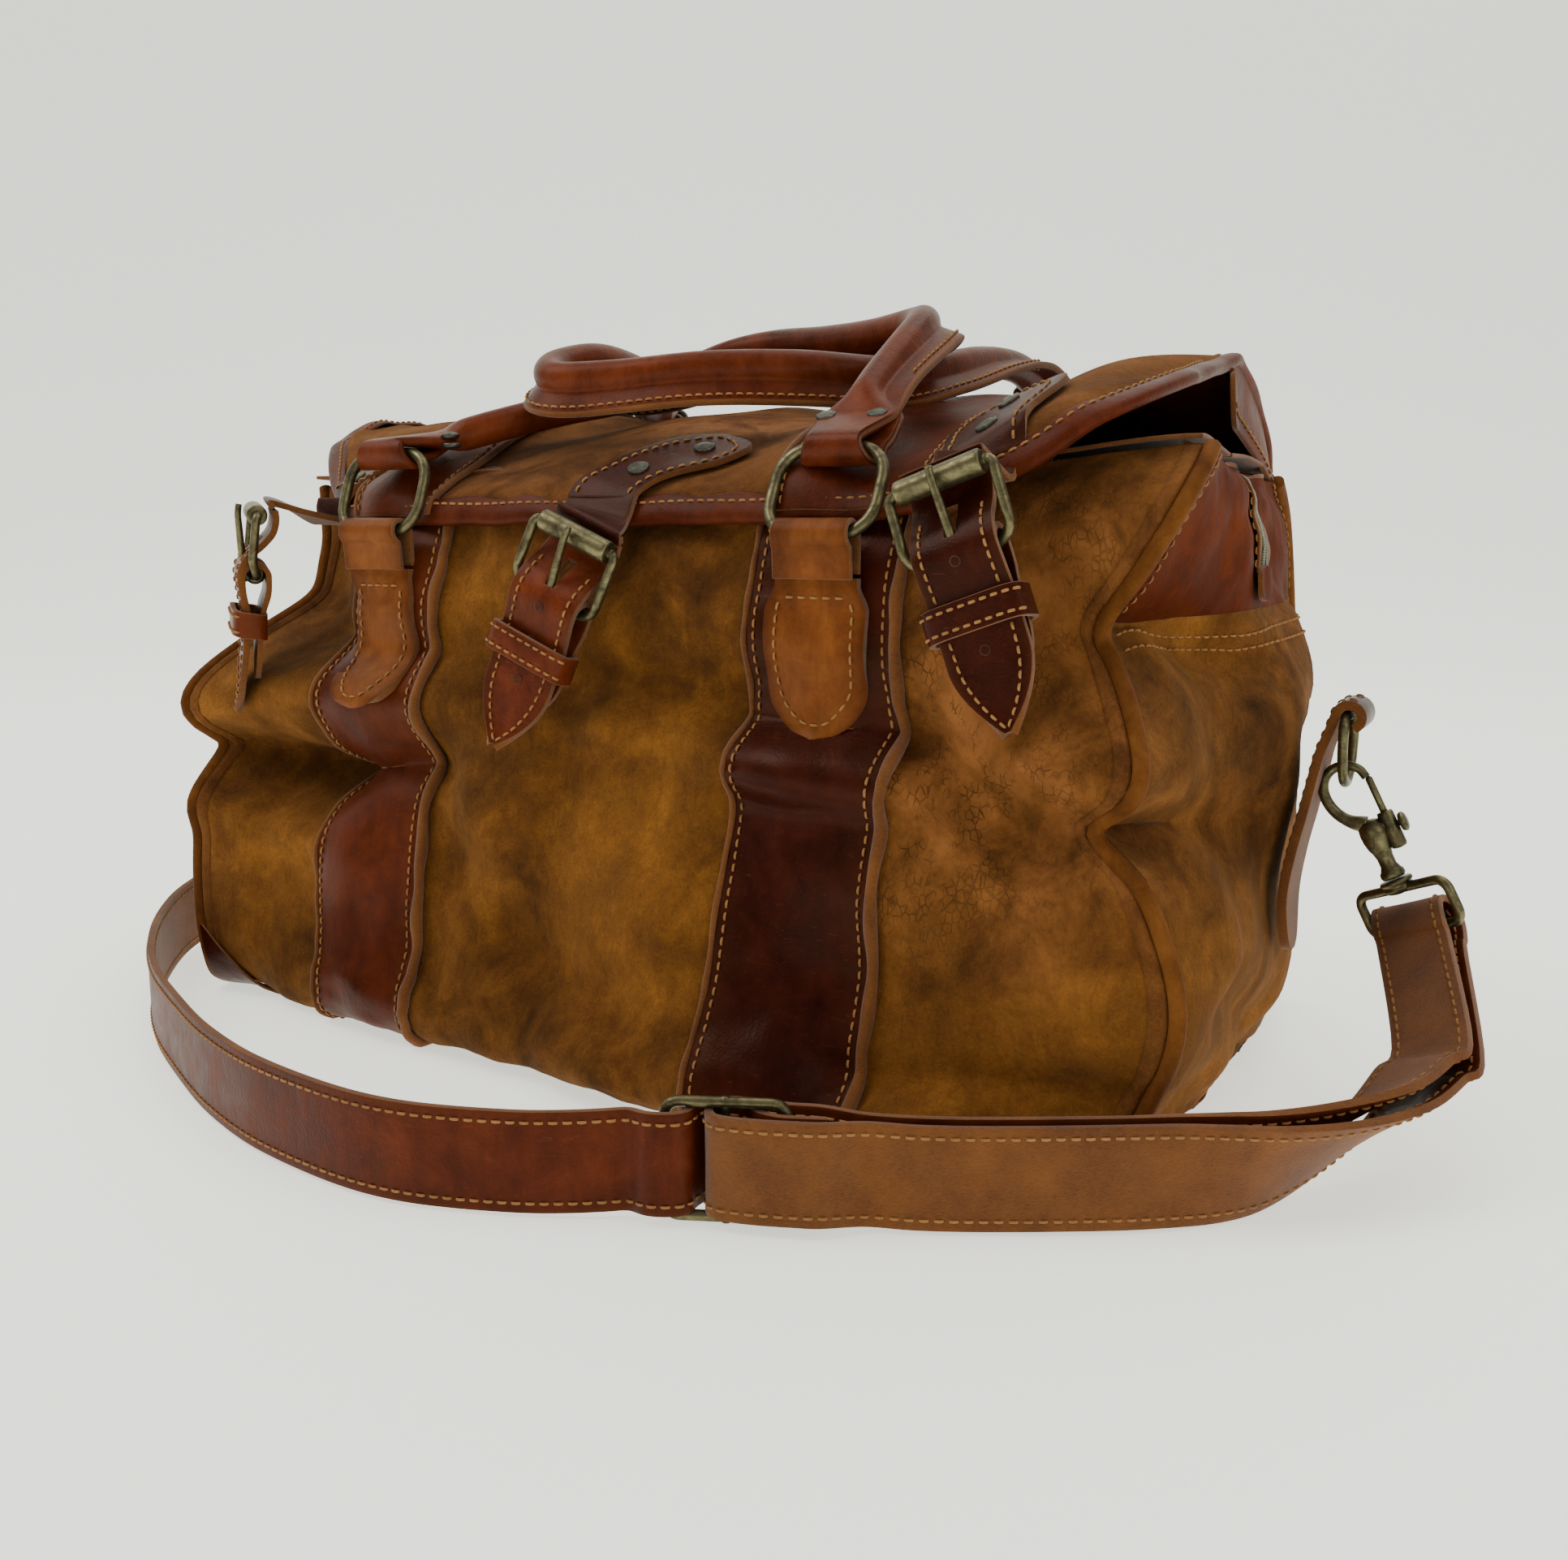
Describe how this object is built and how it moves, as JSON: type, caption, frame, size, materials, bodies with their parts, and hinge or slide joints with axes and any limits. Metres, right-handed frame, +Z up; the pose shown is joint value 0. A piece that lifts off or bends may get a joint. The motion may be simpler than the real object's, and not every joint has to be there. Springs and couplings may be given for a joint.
{
  "type": "weekender bag",
  "caption": "Soft slouched suede weekender bag with leather bands, a buckled flap, ring-held carrying handles and a clip-on shoulder strap.",
  "frame": {"origin": "on the underside of the base, under the middle of the bag", "axes": "+X along the bag to its right end, -Y out of the front, +Z up"},
  "size_m": [0.7401, 0.4245, 0.3414],
  "materials": {
    "suede": "matt, napped",
    "leather": "satin",
    "dark_leather": "burnished",
    "aged_brass": "aged"
  },
  "bodies": {
    "bag": {"front_panel": "suede", "back_panel": "suede", "base_panel": "suede", "gusset_left": "suede", "gusset_right": "suede", "gusset_top_left": "leather", "gusset_top_right": "leather", "piping_front_left": "leather", "piping_front_right": "leather", "band_front_left": "leather", "band_front_right": "dark_leather", "band_back_left": "leather", "band_back_right": "leather", "ring_tab_front_left": "leather", "ring_tab_front_right": "leather", "ring_tab_back_left": "leather", "ring_tab_back_right": "leather", "zip_panel_front": "leather", "zip_panel_back": "leather", "dring_tab_left": "leather", "dring_tab_right": "leather", "shoulder_strap": "leather", "strap_slider": "aged_brass"},
    "flap": {"flap": "suede", "flap_binding": "leather", "flap_tab_left": "leather", "flap_tab_middle": "leather", "flap_tab_right": "leather"},
    "front_rings": {"ring_front_left": "aged_brass", "ring_front_right": "aged_brass"},
    "back_rings": {"ring_back_left": "aged_brass", "ring_back_right": "aged_brass"},
    "front_handle": {"handle_front": "leather"},
    "back_handle": {"handle_back": "leather"},
    "zip_slider": {"zip_slider": "aged_brass"},
    "zip_pull": {"zip_pull": "leather"},
    "closure_left": {"closure_strap_left": "leather", "buckle_frame_left": "aged_brass", "buckle_tab_left": "leather"},
    "roller_left": {"buckle_roller_left": "aged_brass"},
    "prong_left": {"buckle_prong_left": "aged_brass"},
    "closure_middle": {"closure_strap_middle": "leather", "buckle_frame_middle": "aged_brass", "buckle_tab_middle": "leather"},
    "roller_middle": {"buckle_roller_middle": "aged_brass"},
    "prong_middle": {"buckle_prong_middle": "aged_brass"},
    "closure_right": {"closure_strap_right": "leather", "buckle_frame_right": "aged_brass", "buckle_tab_right": "leather"},
    "roller_right": {"buckle_roller_right": "aged_brass"},
    "prong_right": {"buckle_prong_right": "aged_brass"},
    "dring_left": {"dring_left": "aged_brass"},
    "swivel_left": {"hook_swivel_left": "aged_brass"},
    "hook_left": {"hook_body_left": "aged_brass"},
    "gate_left": {"hook_gate_left": "aged_brass"},
    "dring_right": {"dring_right": "aged_brass"},
    "swivel_right": {"hook_swivel_right": "aged_brass"},
    "hook_right": {"hook_body_right": "aged_brass"},
    "gate_right": {"hook_gate_right": "aged_brass"}
  },
  "joints": [
    {"name": "flap_open", "type": "hinge", "parent": "bag", "child": "flap", "pos_m": [0, 0.108, 0.266], "axis": [-1, 0, 0], "range_deg": [0, 110]},
    {"name": "front_rings_swing", "type": "hinge", "parent": "bag", "child": "front_rings", "pos_m": [0.00138, -0.13035, 0.241], "axis": [0.9996, -0.0275, 0], "range_deg": [0, 130]},
    {"name": "front_handle_lift", "type": "hinge", "parent": "front_rings", "child": "front_handle", "pos_m": [0.00181, -0.11453, 0.27655], "axis": [0.9999, -0.0064, -0.0094], "range_deg": [0, 50], "deforming": ["handle_front"]},
    {"name": "back_rings_swing", "type": "hinge", "parent": "bag", "child": "back_rings", "pos_m": [0.00001, 0.13362, 0.241], "axis": [-1, 0.0001, 0], "range_deg": [0, 110]},
    {"name": "back_handle_lift", "type": "hinge", "parent": "back_rings", "child": "back_handle", "pos_m": [0.00001, 0.12955, 0.27979], "axis": [-1, 0.0001, 0], "range_deg": [0, 50], "deforming": ["handle_back"]},
    {"name": "closure_left_swing", "type": "hinge", "parent": "flap", "child": "closure_left", "pos_m": [-0.19026, -0.12574, 0.25931], "axis": [-0.7642, 0.6412, 0.0698], "range_deg": [0, 60]},
    {"name": "roller_left_spin", "type": "hinge", "parent": "closure_left", "child": "roller_left", "pos_m": [-0.193, -0.128, 0.25], "axis": [0.7642, -0.6412, -0.0698], "continuous": true},
    {"name": "prong_left_lift", "type": "hinge", "parent": "closure_left", "child": "prong_left", "pos_m": [-0.19561, -0.12786, 0.22011], "axis": [0.7642, -0.6412, -0.0698], "range_deg": [0, 30]},
    {"name": "closure_middle_swing", "type": "hinge", "parent": "flap", "child": "closure_middle", "pos_m": [0.01667, -0.14267, 0.24864], "axis": [-0.9205, 0, 0.3907], "range_deg": [0, 60]},
    {"name": "roller_middle_spin", "type": "hinge", "parent": "closure_middle", "child": "roller_middle", "pos_m": [0.013, -0.146, 0.24], "axis": [0.9205, 0, -0.3907], "continuous": true},
    {"name": "prong_middle_lift", "type": "hinge", "parent": "closure_middle", "child": "prong_middle", "pos_m": [0.00129, -0.14705, 0.2124], "axis": [0.9205, 0, -0.3907], "range_deg": [0, 30]},
    {"name": "closure_right_swing", "type": "hinge", "parent": "flap", "child": "closure_right", "pos_m": [0.17277, -0.14083, 0.27088], "axis": [-0.9397, 0, -0.342], "range_deg": [0, 60]},
    {"name": "roller_right_spin", "type": "hinge", "parent": "closure_right", "child": "roller_right", "pos_m": [0.176, -0.144, 0.262], "axis": [0.9397, 0, 0.342], "continuous": true},
    {"name": "prong_right_lift", "type": "hinge", "parent": "closure_right", "child": "prong_right", "pos_m": [0.18626, -0.14452, 0.23381], "axis": [0.9397, 0, 0.342], "range_deg": [0, 30]},
    {"name": "zip_slide", "type": "slide", "parent": "bag", "child": "zip_slider", "axis": [-1, 0, 0], "range_m": [0, 0.03]},
    {"name": "zip_pull_turn", "type": "hinge", "parent": "zip_slider", "child": "zip_pull", "pos_m": [-0.199, 0, 0.2788], "axis": [0, 0, 1], "range_deg": [-45, 45]},
    {"name": "dring_left_swing", "type": "hinge", "parent": "bag", "child": "dring_left", "pos_m": [-0.3035, 0, 0.166], "axis": [0, -1, 0], "range_deg": [-4, 4]},
    {"name": "swivel_left_swing", "type": "hinge", "parent": "bag", "child": "swivel_left", "pos_m": [-0.33595, 0, 0.07727], "axis": [-0.7473, 0.5446, 0.3807], "range_deg": [-3, 3]},
    {"name": "hook_left_turn", "type": "hinge", "parent": "swivel_left", "child": "hook_left", "pos_m": [-0.32562, 0, 0.09754], "axis": [0.454, 0, 0.891], "range_deg": [-12, 12]},
    {"name": "gate_left_slide", "type": "slide", "parent": "hook_left", "child": "gate_left", "axis": [-0.454, 0, -0.891], "range_m": [0, 0.008], "stiffness_N_per_m": 300},
    {"name": "dring_right_swing", "type": "hinge", "parent": "bag", "child": "dring_right", "pos_m": [0.3035, 0, 0.166], "axis": [0, 1, 0], "range_deg": [-4, 4]},
    {"name": "swivel_right_swing", "type": "hinge", "parent": "bag", "child": "swivel_right", "pos_m": [0.33595, 0, 0.07727], "axis": [0.7473, -0.5446, 0.3807], "range_deg": [-3, 3]},
    {"name": "hook_right_turn", "type": "hinge", "parent": "swivel_right", "child": "hook_right", "pos_m": [0.32562, 0, 0.09754], "axis": [-0.454, 0, 0.891], "range_deg": [-12, 12]},
    {"name": "gate_right_slide", "type": "slide", "parent": "hook_right", "child": "gate_right", "axis": [0.454, 0, -0.891], "range_m": [0, 0.008], "stiffness_N_per_m": 300}
  ],
  "couplings": [
    {"joint": "front_rings_swing", "follows": "flap_open", "ratio": 1.15},
    {"joint": "back_rings_swing", "follows": "flap_open", "ratio": 1}
  ]
}
